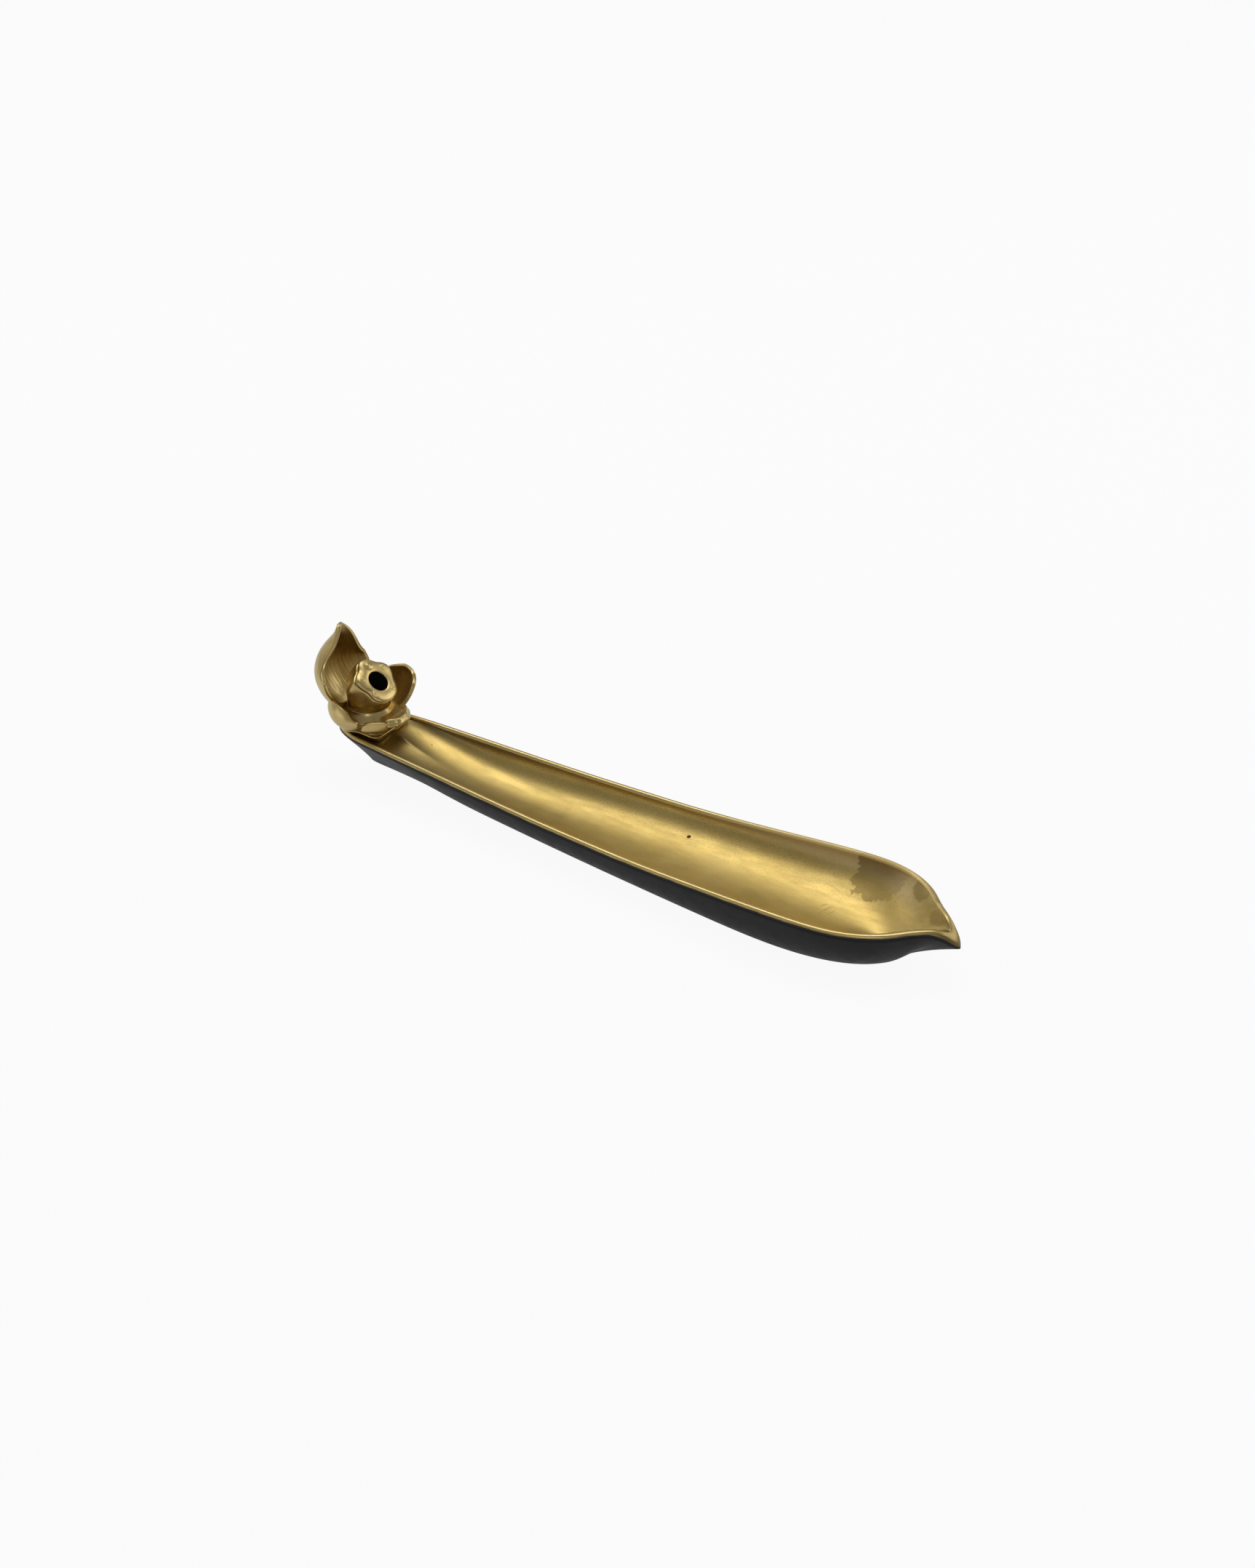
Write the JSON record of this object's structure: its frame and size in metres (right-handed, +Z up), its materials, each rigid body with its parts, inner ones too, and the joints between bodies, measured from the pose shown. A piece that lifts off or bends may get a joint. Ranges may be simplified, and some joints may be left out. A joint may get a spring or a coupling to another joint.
{
  "type": "boat incense holder",
  "caption": "Glazed boat-shaped tray with a gold-lined trough; a lotus on its stern leans a seed pod, bored for an incense stick, over the trough that catches the ash.",
  "frame": {"origin": "on the ground, under the middle of the whole length and width", "axes": "+X along the tray towards the drooping tip of the bow, +Z up"},
  "size_m": [0.2492, 0.0468, 0.0515],
  "materials": {
    "black_glaze": "satin black glaze with faint mottling",
    "gold_lining_lustre": "satin gold lustre, worn and speckled",
    "gold_flower_lustre": "glossy antique gold lustre, dark in the folds"
  },
  "bodies": {
    "root": {"hull": "black_glaze", "gold_lining": "gold_lining_lustre", "flower_foot": "gold_flower_lustre", "collar": "gold_flower_lustre", "back_petal": "gold_flower_lustre", "far_petal": "gold_flower_lustre", "far_rear_petal": "gold_flower_lustre", "near_petal": "gold_flower_lustre", "front_petal": "gold_flower_lustre", "front_near_petal": "gold_flower_lustre", "pod_body": "gold_flower_lustre", "pod_face": "gold_flower_lustre", "pod_seed_1": "gold_flower_lustre", "pod_seed_2": "gold_flower_lustre", "pod_seed_3": "gold_flower_lustre", "pod_seed_4": "gold_flower_lustre", "pod_seed_5": "gold_flower_lustre"}
  },
  "joints": []
}
